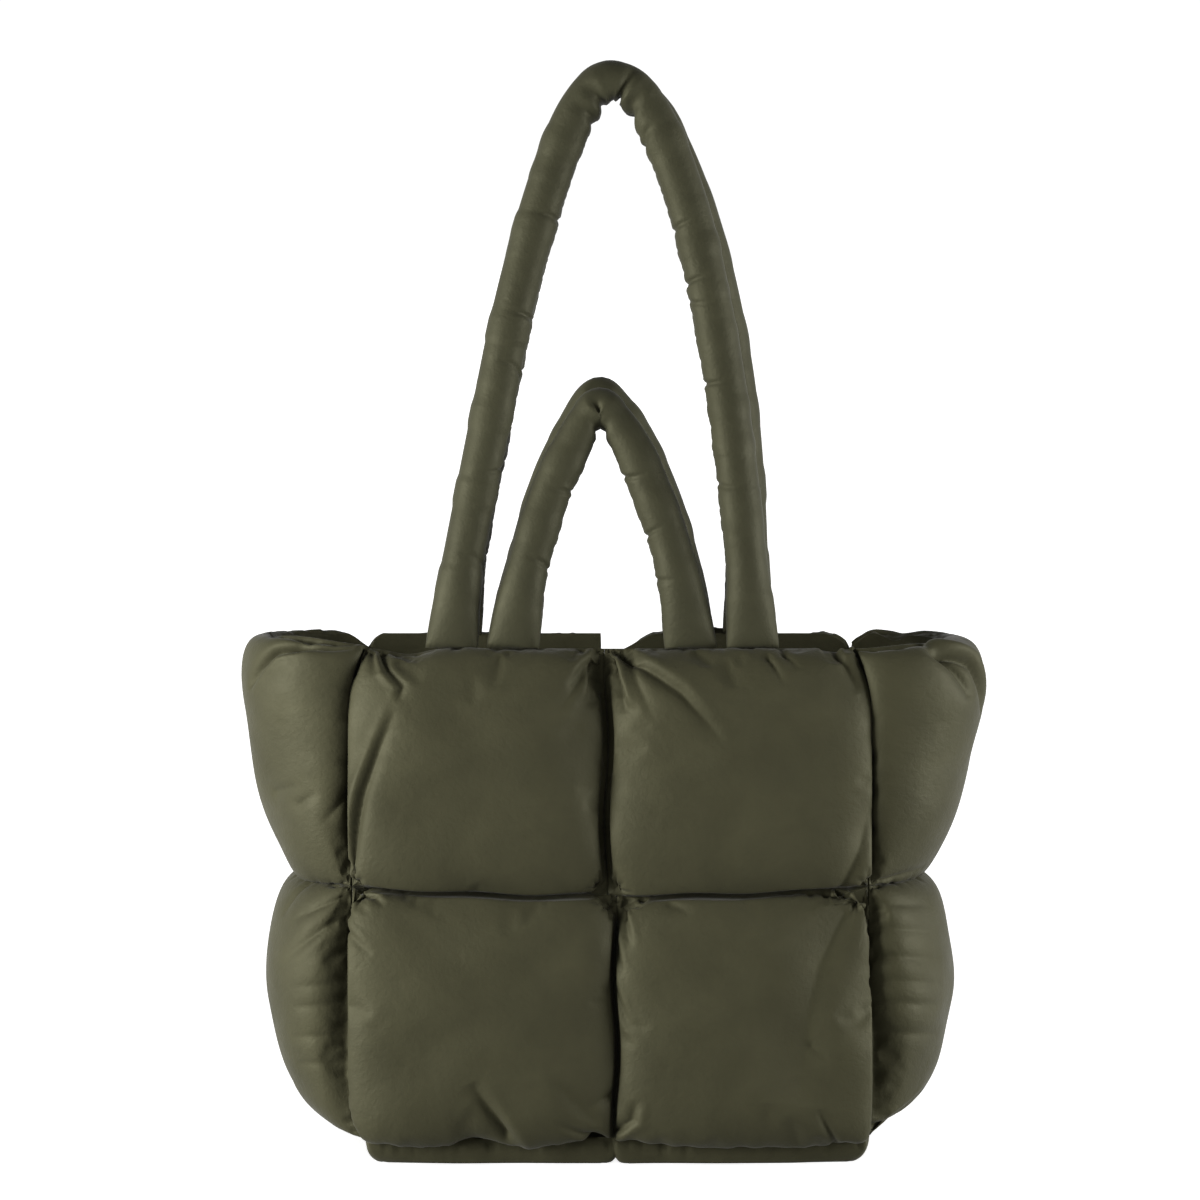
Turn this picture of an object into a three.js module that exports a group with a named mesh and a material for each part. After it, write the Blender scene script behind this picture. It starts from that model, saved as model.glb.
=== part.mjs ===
// Padded tote bag: stuffed nylon squares sewn edge to edge into an open-topped body, with a pair of
// long shoulder straps and a pair of short hand straps, all stuffed tubes.
// Millimetres, +Z up, the front faces -Y, and the bag stands on the floor at z = 0.
import * as THREE from 'three';

// Body: half the front panel's width, and the seam heights with the bag's half depth there and how far
// the side gusset folds out past the panel
const PANEL_HALF_WIDTH = 143;
const BASE = { z: 15, halfDepth: 68, foldOut: 8 };
const WAIST = { z: 154, halfDepth: 57, foldOut: 28 };
const RIM = { z: 285, halfDepth: 42, foldOut: 52 };
const WAIST_SAG = 5;

// Rows of squares: the seams they run between, which end of the row is the waist (-1 low, 1 high),
// where the panel's centre seam is, and how blunt the top edge is
const ROWS = [
  { name: 'upper', low: WAIST, high: RIM, waistEnd: -1, centreSeam: -2, topBluntness: 6 },
  { name: 'lower', low: BASE, high: WAIST, waistEnd: 1, centreSeam: 3, topBluntness: 2.5 },
];
const EDGE_BLUNTNESS = 2.5;
const BASE_BLUNTNESS = 8;
const BASE_CENTRE_SEAM = 4;
const BASE_INSET = 1.5;

// Stuffing: how far the outer cloth swells beyond the seams, how far the lining swells inwards,
// the cloth at a seam, and the gap between neighbouring squares
const SWELL = { panel: 25, upperGusset: 20, lowerGusset: 32, base: 20 };
const LINING_SWELL = 9;
const SEAM_CLOTH = 1.2;
const THINNEST_CLOTH = 0.5;
const SEAM_GAP = 0.6;
const SQUARE_SIZE = 135;

// Puckers fan out from the four corners of every square, where the seams cross
const PUCKER = { waves: 5, depth: 2.6, reach: 0.34 };

// Folds pressed into the outer cloth: the square, where the fold starts and ends (across and up the
// square, -1 to 1, seen from outside), its depth and its width
const FOLDS = [
  { square: 'front_upper_left', from: [1, 1], to: [0.62, 0.5], depth: 8, width: 9 },
  { square: 'front_upper_left', from: [0.95, 0.95], to: [0.82, 0.3], depth: 5, width: 8 },
  { square: 'front_upper_left', from: [-0.95, 1], to: [-0.6, 0.65], depth: 8, width: 9 },
  { square: 'front_upper_left', from: [-0.7, 0.5], to: [-0.9, -0.9], depth: 7, width: 10 },
  { square: 'front_upper_right', from: [-1, 1], to: [-0.8, 0.45], depth: 8, width: 9 },
  { square: 'front_upper_right', from: [-0.95, 0.95], to: [-0.1, 0.28], depth: 7, width: 10 },
  { square: 'front_upper_right', from: [0.4, 1], to: [0.52, 0.8], depth: 5, width: 8 },
  { square: 'front_upper_right', from: [0.95, 0.95], to: [0.7, 0.75], depth: 7, width: 9 },
  { square: 'front_lower_left', from: [0.95, -0.9], to: [0, -0.62], depth: 7, width: 9 },
  { square: 'front_lower_left', from: [-0.95, 0.95], to: [-0.7, 0.6], depth: 7, width: 9 },
  { square: 'front_lower_right', from: [-0.95, 0.9], to: [-0.75, 0.3], depth: 7, width: 9 },
  { square: 'front_lower_right', from: [0.85, 0.85], to: [0.72, -0.1], depth: 7, width: 10 },
  { square: 'front_lower_right', from: [0.72, -0.1], to: [0.85, -0.5], depth: 7, width: 10 },
  { square: 'back_upper_left', from: [-0.95, 1], to: [-0.6, 0.6], depth: 8, width: 9 },
  { square: 'back_upper_left', from: [-1, 0.9], to: [-0.2, 0.4], depth: 7, width: 10 },
  { square: 'back_upper_right', from: [0.95, 1], to: [0.66, 0.5], depth: 8, width: 9 },
  { square: 'back_lower_left', from: [0.9, -0.9], to: [0.1, -0.6], depth: 7, width: 10 },
  { square: 'back_lower_right', from: [-0.9, 0.9], to: [-0.7, 0.2], depth: 7, width: 9 },
  { square: 'left_gusset_upper', from: [0.1, 0.72], to: [0.6, 0.85], depth: 7, width: 8 },
  { square: 'left_gusset_lower', from: [0.2, 0.45], to: [0.95, 0.75], depth: 8, width: 9 },
  { square: 'left_gusset_lower', from: [-0.9, 0.8], to: [-0.3, 0.4], depth: 8, width: 9 },
  { square: 'right_gusset_upper', from: [-0.5, 0.95], to: [-0.1, 0.5], depth: 8, width: 9 },
  { square: 'right_gusset_lower', from: [-0.95, 0.9], to: [-0.2, 0.82], depth: 8, width: 8 },
  { square: 'right_gusset_lower', from: [-0.9, -0.85], to: [-0.4, -0.6], depth: 8, width: 9 },
];

// Mesh fineness of a square: divisions of its outer cloth and half as many of its lining
const LINING_DIVISIONS = 7;
const OUTER_DIVISIONS = 2 * LINING_DIVISIONS;

// Straps: a round stuffed tube that is pressed flatter and wider where it is sewn to the rim
const STRAP = { radius: 12, footHalfWidth: 14, footHalfDepth: 7, footLength: 60, sides: 10 };
const STRAP_FOOT_Z = RIM.z + 0.6;
const STRAP_DENT_WIDTH = 12;

// Routes of the front straps, up both runs to the crown: the height, the left and right run's middle,
// and how far in front of the bag's middle they are
const SHOULDER_ROUTE = [
  { z: STRAP_FOOT_Z, left: -87, right: 77, out: 44 },
  { z: 325, left: -82, right: 74, out: 40 },
  { z: 365, left: -75, right: 71, out: 36 },
  { z: 418, left: -65, right: 66, out: 31 },
  { z: 471, left: -54, right: 57, out: 26 },
  { z: 524, left: -40, right: 45, out: 20 },
  { z: 569, left: -24.5, right: 29, out: 16 },
  { z: 586, left: -15.5, right: 19.5, out: 14 },
  { z: 595.5, left: -7, right: 11, out: 13.6 },
];
const SHOULDER_CROWN = { x: 2, z: 598.5, out: 13.5 };
const HAND_ROUTE = [
  { z: STRAP_FOOT_Z, left: -54, right: 45, out: 44 },
  { z: 312, left: -50, right: 41, out: 41 },
  { z: 347, left: -41, right: 32, out: 36 },
  { z: 374, left: -32, right: 22, out: 32 },
  { z: 396, left: -23, right: 13, out: 29 },
  { z: 410, left: -15, right: 4, out: 27 },
  { z: 415, left: -10.5, right: -0.5, out: 26.3 },
];
const HAND_CROWN = { x: -5.5, z: 417, out: 26 };

// The four straps: which side of the bag, how much taller than the front one, how far the right run
// bows out, the steps along it, and the dents on its inner side as [share of its length, depth]
const STRAPS = [
  { name: 'front_shoulder_strap', facing: -1, route: SHOULDER_ROUTE, crown: SHOULDER_CROWN, rise: 0, bow: 0,
    steps: 48, dents: [[0.25, 2], [0.31, 2], [0.5, 5], [0.68, 2], [0.74, 3], [0.83, 3]] },
  { name: 'back_shoulder_strap', facing: 1, route: SHOULDER_ROUTE, crown: SHOULDER_CROWN, rise: 0, bow: 7,
    steps: 48, dents: [[0.2, 2], [0.33, 3], [0.5, 5], [0.7, 2], [0.8, 3]] },
  { name: 'front_hand_strap', facing: -1, route: HAND_ROUTE, crown: HAND_CROWN, rise: 0, bow: 0,
    steps: 30, dents: [[0.2, 3], [0.33, 3], [0.5, 6], [0.68, 3], [0.82, 3]] },
  { name: 'back_hand_strap', facing: 1, route: HAND_ROUTE, crown: HAND_CROWN, rise: 0.035, bow: 2,
    steps: 30, dents: [[0.25, 3], [0.5, 6], [0.72, 3]] },
];

// Finish: dark olive nylon with a soft sheen, the straps a shade greyer than the squares
const SQUARE_CLOTH = { color: 0x47462f, roughness: 0.55, metalness: 0 };
const STRAP_CLOTH = { color: 0x4a4a3a, roughness: 0.55, metalness: 0 };

const lerp = THREE.MathUtils.lerp;

// Seam surfaces: each takes a place across and up a square and gives the point in the seams' surface

function sectionAt(row, up) {
  const share = (up + 1) / 2;
  return {
    z: lerp(row.low.z, row.high.z, share),
    halfDepth: lerp(row.low.halfDepth, row.high.halfDepth, share),
    foldOut: lerp(row.low.foldOut, row.high.foldOut, share),
  };
}

// Front (facing -1) and back (facing 1) walls lean in towards the rim, and their waist seam sags
function panelSurface(row, facing, xLeft, xRight) {
  return (across, up) => {
    const section = sectionAt(row, up);
    const x = lerp(xLeft, xRight, (across + 1) / 2);
    const waistShare = (1 + row.waistEnd * up) / 2;
    const sag = WAIST_SAG * waistShare * (1 - (x / PANEL_HALF_WIDTH) ** 2);
    return new THREE.Vector3(x, facing * section.halfDepth, section.z - sag);
  };
}

// A gusset is an arc from the front seam, out over the fold, to the back seam
function gussetArc(section) {
  const radius = (section.halfDepth ** 2 + section.foldOut ** 2) / (2 * section.foldOut);
  const halfAngle = Math.atan2(section.halfDepth, radius - section.foldOut);
  const centreX = PANEL_HALF_WIDTH + section.foldOut - radius;
  return { radius, halfAngle, centreX };
}

function gussetSurface(row, side) {
  return (across, up) => {
    const section = sectionAt(row, up);
    const arc = gussetArc(section);
    const angle = across * arc.halfAngle;
    const x = arc.centreX + arc.radius * Math.cos(angle);
    const y = arc.radius * Math.sin(angle);
    return new THREE.Vector3(side * x, side * y, section.z);
  };
}

// The base is flat, from the centre seam to just inside the gusset's lower edge
function baseSurface(side) {
  const arc = gussetArc(BASE);
  return (across, up) => {
    const y = -up * (BASE.halfDepth - BASE_INSET);
    const endX = arc.centreX + Math.sqrt(arc.radius ** 2 - y ** 2) - BASE_INSET;
    const share = (1 + side * across) / 2;
    return new THREE.Vector3(lerp(BASE_CENTRE_SEAM, side * endX, share), y, BASE.z);
  };
}

function normalAt(surface, across, up) {
  const step = 0.01;
  const acrossWay = surface(across + step, up).sub(surface(across - step, up));
  const upWay = surface(across, up + step).sub(surface(across, up - step));
  return acrossWay.cross(upWay).normalize();
}

// Shape of a stuffed square

// Height of the outer cloth as a share of the swell: steep at the seams, rounded in the middle
function pillow(across, up, form) {
  const upBluntness = up > 0 ? form.topBluntness : form.bluntness;
  const acrossShare = Math.max(0, 1 - Math.abs(across) ** form.bluntness);
  const upShare = Math.max(0, 1 - Math.abs(up) ** upBluntness);
  return Math.sqrt(acrossShare * upShare);
}

function puckerDepth(across, up) {
  const fromSide = 1 - Math.abs(across);
  const fromEnd = 1 - Math.abs(up);
  const distance = Math.hypot(fromSide, fromEnd);
  const wave = Math.sin(PUCKER.waves * Math.atan2(fromEnd, fromSide) * 2) ** 2;
  return PUCKER.depth * wave * Math.exp(-((distance / PUCKER.reach) ** 2));
}

function foldDepth(fold, across, up) {
  const run = new THREE.Vector2(fold.to[0] - fold.from[0], fold.to[1] - fold.from[1]);
  const place = new THREE.Vector2(across - fold.from[0], up - fold.from[1]);
  const along = THREE.MathUtils.clamp(place.dot(run) / run.lengthSq(), 0, 1);
  const distance = place.distanceTo(run.multiplyScalar(along)) * SQUARE_SIZE / 2;
  const fade = 1 - 0.7 * along;
  return fold.depth * fade * Math.exp(-((distance / fold.width) ** 2));
}

// Rows of a square's grid are closer together towards its seams, where it curves most
function gridPlaces(divisions) {
  return Array.from({ length: divisions + 1 }, (_, i) => -Math.cos((Math.PI * i) / divisions));
}

function gridPoints(divisions, pointAt) {
  const places = gridPlaces(divisions);
  return places.flatMap((up) => places.map((across) => pointAt(across, up)));
}

// Indices round the edge of a grid, anticlockwise seen from outside
function gridEdge(divisions) {
  const width = divisions + 1;
  const steps = Array.from({ length: divisions }, (_, i) => i);
  return [
    ...steps,
    ...steps.map((i) => divisions + i * width),
    ...steps.map((i) => width * width - 1 - i),
    ...steps.map((i) => (divisions - i) * width),
  ];
}

function gridTriangles(divisions, first, outwards) {
  const triangles = [];
  const width = divisions + 1;
  for (let row = 0; row < divisions; row += 1) {
    for (let column = 0; column < divisions; column += 1) {
      const a = first + row * width + column;
      const b = a + 1;
      const c = a + width + 1;
      const d = a + width;
      triangles.push(...(outwards ? [a, b, c, a, c, d] : [a, c, b, a, d, c]));
    }
  }
  return triangles;
}

// The side of the square between its outer cloth and its lining, which has half as many points
function edgeTriangles(liningFirst) {
  const triangles = [];
  const outer = gridEdge(OUTER_DIVISIONS);
  const lining = gridEdge(LINING_DIVISIONS).map((i) => i + liningFirst);
  for (let i = 0; i < lining.length; i += 1) {
    const near = lining[i];
    const far = lining[(i + 1) % lining.length];
    const start = outer[2 * i];
    const middle = outer[2 * i + 1];
    const end = outer[(2 * i + 2) % outer.length];
    triangles.push(near, far, middle, far, end, middle, near, middle, start);
  }
  return triangles;
}

function solidFrom(points, triangles) {
  const geometry = new THREE.BufferGeometry().setFromPoints(points);
  geometry.setIndex(triangles);
  geometry.computeVertexNormals();
  return geometry;
}

function namedMesh(name, geometry, cloth) {
  const mesh = new THREE.Mesh(geometry, new THREE.MeshStandardMaterial(cloth));
  mesh.name = name;
  return mesh;
}

function stuffedSquare(name, surface, form) {
  const folds = FOLDS.filter((fold) => fold.square === name);
  const inset = 1 - SEAM_GAP / SQUARE_SIZE;

  function offsetPoint(across, up, height) {
    const point = surface(across * inset, up * inset);
    point.addScaledVector(normalAt(surface, across * inset, up * inset), height);
    point.z = Math.max(point.z, 0);
    return point;
  }

  function outerPoint(across, up) {
    const swollen = form.swell * pillow(across, up, form);
    const folded = folds.reduce((sum, fold) => sum + foldDepth(fold, across, up), puckerDepth(across, up));
    return offsetPoint(across, up, SEAM_CLOTH + Math.max(swollen - folded, THINNEST_CLOTH - SEAM_CLOTH));
  }

  function liningPoint(across, up) {
    return offsetPoint(across, up, -LINING_SWELL * (1 - across ** 2) * (1 - up ** 2));
  }

  const outer = gridPoints(OUTER_DIVISIONS, outerPoint);
  const lining = gridPoints(LINING_DIVISIONS, liningPoint);
  const triangles = [
    ...gridTriangles(OUTER_DIVISIONS, 0, true),
    ...gridTriangles(LINING_DIVISIONS, outer.length, false),
    ...edgeTriangles(outer.length),
  ];
  return namedMesh(name, solidFrom([...outer, ...lining], triangles), SQUARE_CLOTH);
}

// The walls and the base

function wallForm(row, swell) {
  return { swell, bluntness: EDGE_BLUNTNESS, topBluntness: row.topBluntness };
}

function panelSquares(row, wall, facing) {
  const spans = { left: [-PANEL_HALF_WIDTH, row.centreSeam], right: [row.centreSeam, PANEL_HALF_WIDTH] };
  return Object.entries(spans).map(([side, [low, high]]) => {
    const surface = facing < 0 ? panelSurface(row, facing, low, high) : panelSurface(row, facing, high, low);
    return stuffedSquare(`${wall}_${row.name}_${side}`, surface, wallForm(row, SWELL.panel));
  });
}

function gussetSquare(row, wall, side) {
  const form = wallForm(row, SWELL[`${row.name}Gusset`]);
  return stuffedSquare(`${wall}_gusset_${row.name}`, gussetSurface(row, side), form);
}

function baseSquare(wall, side) {
  const form = { swell: SWELL.base, bluntness: BASE_BLUNTNESS, topBluntness: BASE_BLUNTNESS };
  return stuffedSquare(`base_${wall}`, baseSurface(side), form);
}

// The straps

function strapCurve(strap) {
  const crownZ = lerp(STRAP_FOOT_Z, strap.crown.z, 1 + strap.rise);
  const height = crownZ - STRAP_FOOT_Z;
  const raise = (z) => STRAP_FOOT_Z + (z - STRAP_FOOT_Z) * (1 + strap.rise);
  const bowAt = (z) => strap.bow * Math.sin((Math.PI * (z - STRAP_FOOT_Z)) / height);
  const leftRun = strap.route.map((row) => [row.left, row.out, raise(row.z)]);
  const rightRun = strap.route.map((row) => [row.right + bowAt(row.z), row.out, raise(row.z)]);
  const crown = [strap.crown.x, strap.crown.out, crownZ];
  const places = [...leftRun, crown, ...rightRun.reverse()];
  const points = places.map(([x, out, z]) => new THREE.Vector3(x, strap.facing * out, z));
  return new THREE.CatmullRomCurve3(points, false, 'centripetal');
}

// How deep the inner side of the strap is dented at a share of its length
function dentDepth(strap, share, length) {
  return strap.dents.reduce((sum, [at, depth]) => {
    const distance = (share - at) * length;
    return sum + depth * Math.exp(-((distance / STRAP_DENT_WIDTH) ** 2));
  }, 0);
}

function strapRing(strap, curve, share) {
  const length = curve.getLength();
  const isFoot = share === 0 || share === 1;
  const forward = isFoot ? new THREE.Vector3(0, 0, share === 0 ? 1 : -1) : curve.getTangentAt(share);
  const depthWay = new THREE.Vector3(0, 1, 0);
  depthWay.addScaledVector(forward, -forward.y).normalize();
  const sideWay = new THREE.Vector3().crossVectors(depthWay, forward);
  const fromFoot = Math.min(share, 1 - share) * length;
  const rounded = THREE.MathUtils.smoothstep(fromFoot, 0, STRAP.footLength);
  const halfWidth = lerp(STRAP.footHalfWidth, STRAP.radius, rounded);
  const halfDepth = lerp(STRAP.footHalfDepth, STRAP.radius, rounded);
  const dent = dentDepth(strap, share, length);
  return Array.from({ length: STRAP.sides }, (_, i) => {
    const angle = (2 * Math.PI * i) / STRAP.sides;
    const inwards = Math.max(0, Math.cos(angle)) ** 2;
    const point = curve.getPointAt(share);
    point.addScaledVector(sideWay, (halfWidth - dent * inwards) * Math.cos(angle));
    return point.addScaledVector(depthWay, halfDepth * Math.sin(angle));
  });
}

function stuffedStrap(strap) {
  const curve = strapCurve(strap);
  const shares = Array.from({ length: strap.steps + 1 }, (_, i) => i / strap.steps);
  const points = shares.flatMap((share) => strapRing(strap, curve, share));
  const triangles = [];
  const lastRing = strap.steps * STRAP.sides;
  for (let i = 0; i < STRAP.sides; i += 1) {
    const next = (i + 1) % STRAP.sides;
    for (let ring = 0; ring < lastRing; ring += STRAP.sides) {
      const above = ring + STRAP.sides;
      triangles.push(ring + i, ring + next, above + next, ring + i, above + next, above + i);
    }
    if (i > 0 && next > 0) {
      triangles.push(0, next, i, lastRing, lastRing + i, lastRing + next);
    }
  }
  return namedMesh(strap.name, solidFrom(points, triangles), STRAP_CLOTH);
}

// The whole bag
const bag = new THREE.Group();
bag.name = 'padded_tote_bag';
for (const row of ROWS) {
  bag.add(...panelSquares(row, 'front', -1));
  bag.add(...panelSquares(row, 'back', 1));
  bag.add(gussetSquare(row, 'left', -1));
  bag.add(gussetSquare(row, 'right', 1));
}
bag.add(baseSquare('left', -1));
bag.add(baseSquare('right', 1));
bag.add(...STRAPS.map(stuffedStrap));

export default bag;
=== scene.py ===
"""Padded tote bag: stuffed nylon squares sewn edge to edge, with stuffed straps, on a pale studio floor."""
import math
from dataclasses import dataclass
from typing import Callable

import bpy
import numpy as np
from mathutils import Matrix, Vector


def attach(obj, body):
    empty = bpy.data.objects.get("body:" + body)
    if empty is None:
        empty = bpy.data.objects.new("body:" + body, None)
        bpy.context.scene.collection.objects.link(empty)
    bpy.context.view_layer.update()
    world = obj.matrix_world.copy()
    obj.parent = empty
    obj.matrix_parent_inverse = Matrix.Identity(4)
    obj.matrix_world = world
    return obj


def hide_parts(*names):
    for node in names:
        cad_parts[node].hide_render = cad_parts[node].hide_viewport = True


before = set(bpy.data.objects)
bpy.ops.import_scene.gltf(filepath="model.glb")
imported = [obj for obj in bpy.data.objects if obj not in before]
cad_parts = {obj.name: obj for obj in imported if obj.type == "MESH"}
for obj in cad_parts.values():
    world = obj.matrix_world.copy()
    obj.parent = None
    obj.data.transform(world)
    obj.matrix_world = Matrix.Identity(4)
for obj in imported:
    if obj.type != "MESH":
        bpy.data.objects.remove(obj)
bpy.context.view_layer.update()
SCENE = bpy.context.scene
BODY = "root"
# The bag's pieces, which the softboxes light alone
BAG = bpy.data.collections.new("bag")

# Body, in metres: the seam heights, with the bag's half depth there and how far the gusset folds out
PANEL_HALF_WIDTH = 0.143
FOOT_NARROWING = {"left": 0.008, "right": 0.001, "height": 0.024}
RIM_NARROWING = {"left": 0.008, "right": 0.008, "height": 0.036}
BASE = {"z": 0.015, "half_depth": 0.068, "fold_out": 0.005}
WAIST = {"z": 0.154, "half_depth": 0.057, "fold_out": 0.028}
RIM = {"z": 0.285, "half_depth": 0.042, "fold_out": 0.052}
WAIST_SAG = 0.005
WAIST_WAVE = {"depth": 0.0008, "length": 0.062}
HEM_WAVE = {"depth": 0.0003, "length": 0.0138}
CENTRE_WAVE = {"depth": 0.0012, "length": 0.085}
BACK_CENTRE_SHIFT = -0.004
BASE_END_BULGE = 0.002
BASE_CENTRE_SEAM = 0.004
BASE_INSET = -0.001
BASE_END_LIFT = 0.011
BASE_END_INSET = 0.001
SEAM_CLOTH = 0.0012
SEAM_GAP = 0.00001
GROOVE = {"waist": 0.0018, "upper_centre": 0.0032, "lower_centre": 0.0018, "start": 0.0016, "rise": 0.004}
LINING_SWELL = 0.009
SIDE_LAP = 0.002
FLOOR_GAP = 0.002
# How steeply the shapes of an edge fade out away from it, as powers
RIM_DIP_FADE = 4
HEM_LIFT_FADE = 6
GUSSET_LIFT_FADE = 3
BASE_LIFT_FADE = 6
ROWS = {
    "upper": {"low": WAIST, "high": RIM, "waist_end": -1, "centre_seam": -0.002,
              "groove": GROOVE["upper_centre"]},
    "lower": {"low": BASE, "high": WAIST, "waist_end": 1, "centre_seam": 0.003,
              "groove": GROOVE["lower_centre"]},
}

# Stuffing: how far the cloth swells, how full it is cut at its sides and corners, and its four edges
PILLOW_POWER = 0.42
PILLOW_SOFTNESS = 0.15
OVERHANG_FADE = 4
CORNER_SHARPNESS = 6
KINDS = {
    "upper_panel": {"swell": 0.020, "overhang": 0.006, "side_fullness": 0.002,
                    "corner_fullness": (0.001, 0.011), "fill": 0.8},
    "lower_panel": {"swell": 0.020, "overhang": 0.006, "side_fullness": 0.002,
                    "corner_fullness": (0.001, 0.007), "fill": 0.8},
    "left_upper_gusset": {"swell": 0.0176, "overhang": 0.003, "side_fullness": 0.004,
                          "corner_fullness": (0.012, 0.012), "fill": 0.7},
    "right_upper_gusset": {"swell": 0.0215, "overhang": 0.003, "side_fullness": 0.004,
                           "corner_fullness": (0.012, 0.012), "fill": 0.7},
    "lower_gusset": {"swell": 0.0325, "overhang": 0.002, "side_fullness": 0.006,
                     "corner_fullness": (0.01, 0.015), "fill": 0.8},
    "base": {"swell": 0.019, "overhang": 0.002, "side_fullness": 0.0,
             "corner_fullness": (0.0, 0.0), "fill": 0.9},
}
# Edges of each kind and how blunt they are, with the single squares that differ
EDGES = {
    "upper_panel": {"side": 4.0, "centre": 2.4, "top": 6.0, "bottom": 3.2},
    "lower_panel": {"side": 4.0, "centre": 3.0, "top": 3.2, "bottom": 7.0},
    "left_upper_gusset": {"side": 2.5, "top": 10.0, "bottom": 1.7},
    "right_upper_gusset": {"side": 2.5, "top": 8.0, "bottom": 1.0},
    "lower_gusset": {"side": 2.5, "top": 1.35, "bottom": 2.0},
    "base": {"side": 13.0, "top": 30.0, "bottom": 30.0},
}
EDGE_CHANGES = {"front_upper_right": {"side": 3.2}, "front_lower_right": {"side": 8.0}}
# Share of the overhang that the edges of each kind keep, where it isn't the whole of it
OVERHANGS = {
    "upper_panel": {"centre": 0.1, "top": 0.0},
    "lower_panel": {"centre": 0.5, "top": 0.3},
    "left_upper_gusset": {"top": 0.0},
    "right_upper_gusset": {"top": 0.0},
    "lower_gusset": {"top": 0.3, "bottom": 0.0},
    "base": {},
}

# Swelling simulation: each cut square is gathered into its seams while it swells
SQUARE_DIVISIONS = 64
CURVE_SAMPLES = 2001
MIDDLE_SAMPLES = 60
NORMAL_STEP = 0.01
SHORTEST_WAY = 1e-9
GATHER_FRAMES = 20
CLOTH_FRAMES = 40
CLOTH = {
    "quality": 8,
    "mass": 0.02,
    "air_damping": 2.0,
    "tension_stiffness": 40.0,
    "compression_stiffness": 40.0,
    "shear_stiffness": 10.0,
    "bending_stiffness": 24.0,
    "uniform_pressure_force": 30.0,
}
# Faint ripples of the cut cloth, which start its folds
RIPPLE = {"depth": 0.00012, "waves": 12, "turns": 9}
# Small gathers along the seams, on the finished cloth
GATHER = {"depth": 0.0016, "reach": 0.008, "length": 0.011}
SEAM_HOLD = 0.002
# Gentle dents of the stuffing over a whole square
DENTS = {"depth": 0.0010, "length": 0.060, "waves": 6, "shortest": 0.7, "longest": 1.6}
# Uneven waves: how many are summed, their lengths as shares, their starts and the sum at a full crest
UNEVEN = {"waves": 5, "shortest": 0.7, "longest": 2.2, "start": 7, "crest": 2.5}
PRESS_SEED = 100
STRAP_SEED = 200

# Folds: the place and spread of a lip in widths of its fold, the valley's profile, and the fade along it
FOLD_LIP_GAP = 1.7
FOLD_LIP_SPREAD = 3
FOLD_SHARPNESS = 1.25
FOLD_STRENGTH = 1.4
FOLD_FADE = 0.6
# Corners of the walls' squares at the waist: the square, and the corner's place across and up
WAIST_CORNERS = [
    (f"{wall}_{row}_{side}", across, up)
    for wall in ("front", "back")
    for row, up in (("upper", -1), ("lower", 1))
    for side in ("left", "right")
    for across in (-1, 1)
]
# Knots of three creases at those corners, fanned out from one place, with a pit in each corner
KNOT = {"start": 0.98, "span": 0.26, "reaches": (0.06, 0.13, 0.21)}
PIT_END = 0.92


@dataclass
class Fold:
    """A fold of a square's swollen cloth: its path from its deep end, depth, width and raised lip."""
    square: str
    path: tuple
    depth: float
    width: float
    lip: float = 0.0


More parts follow.
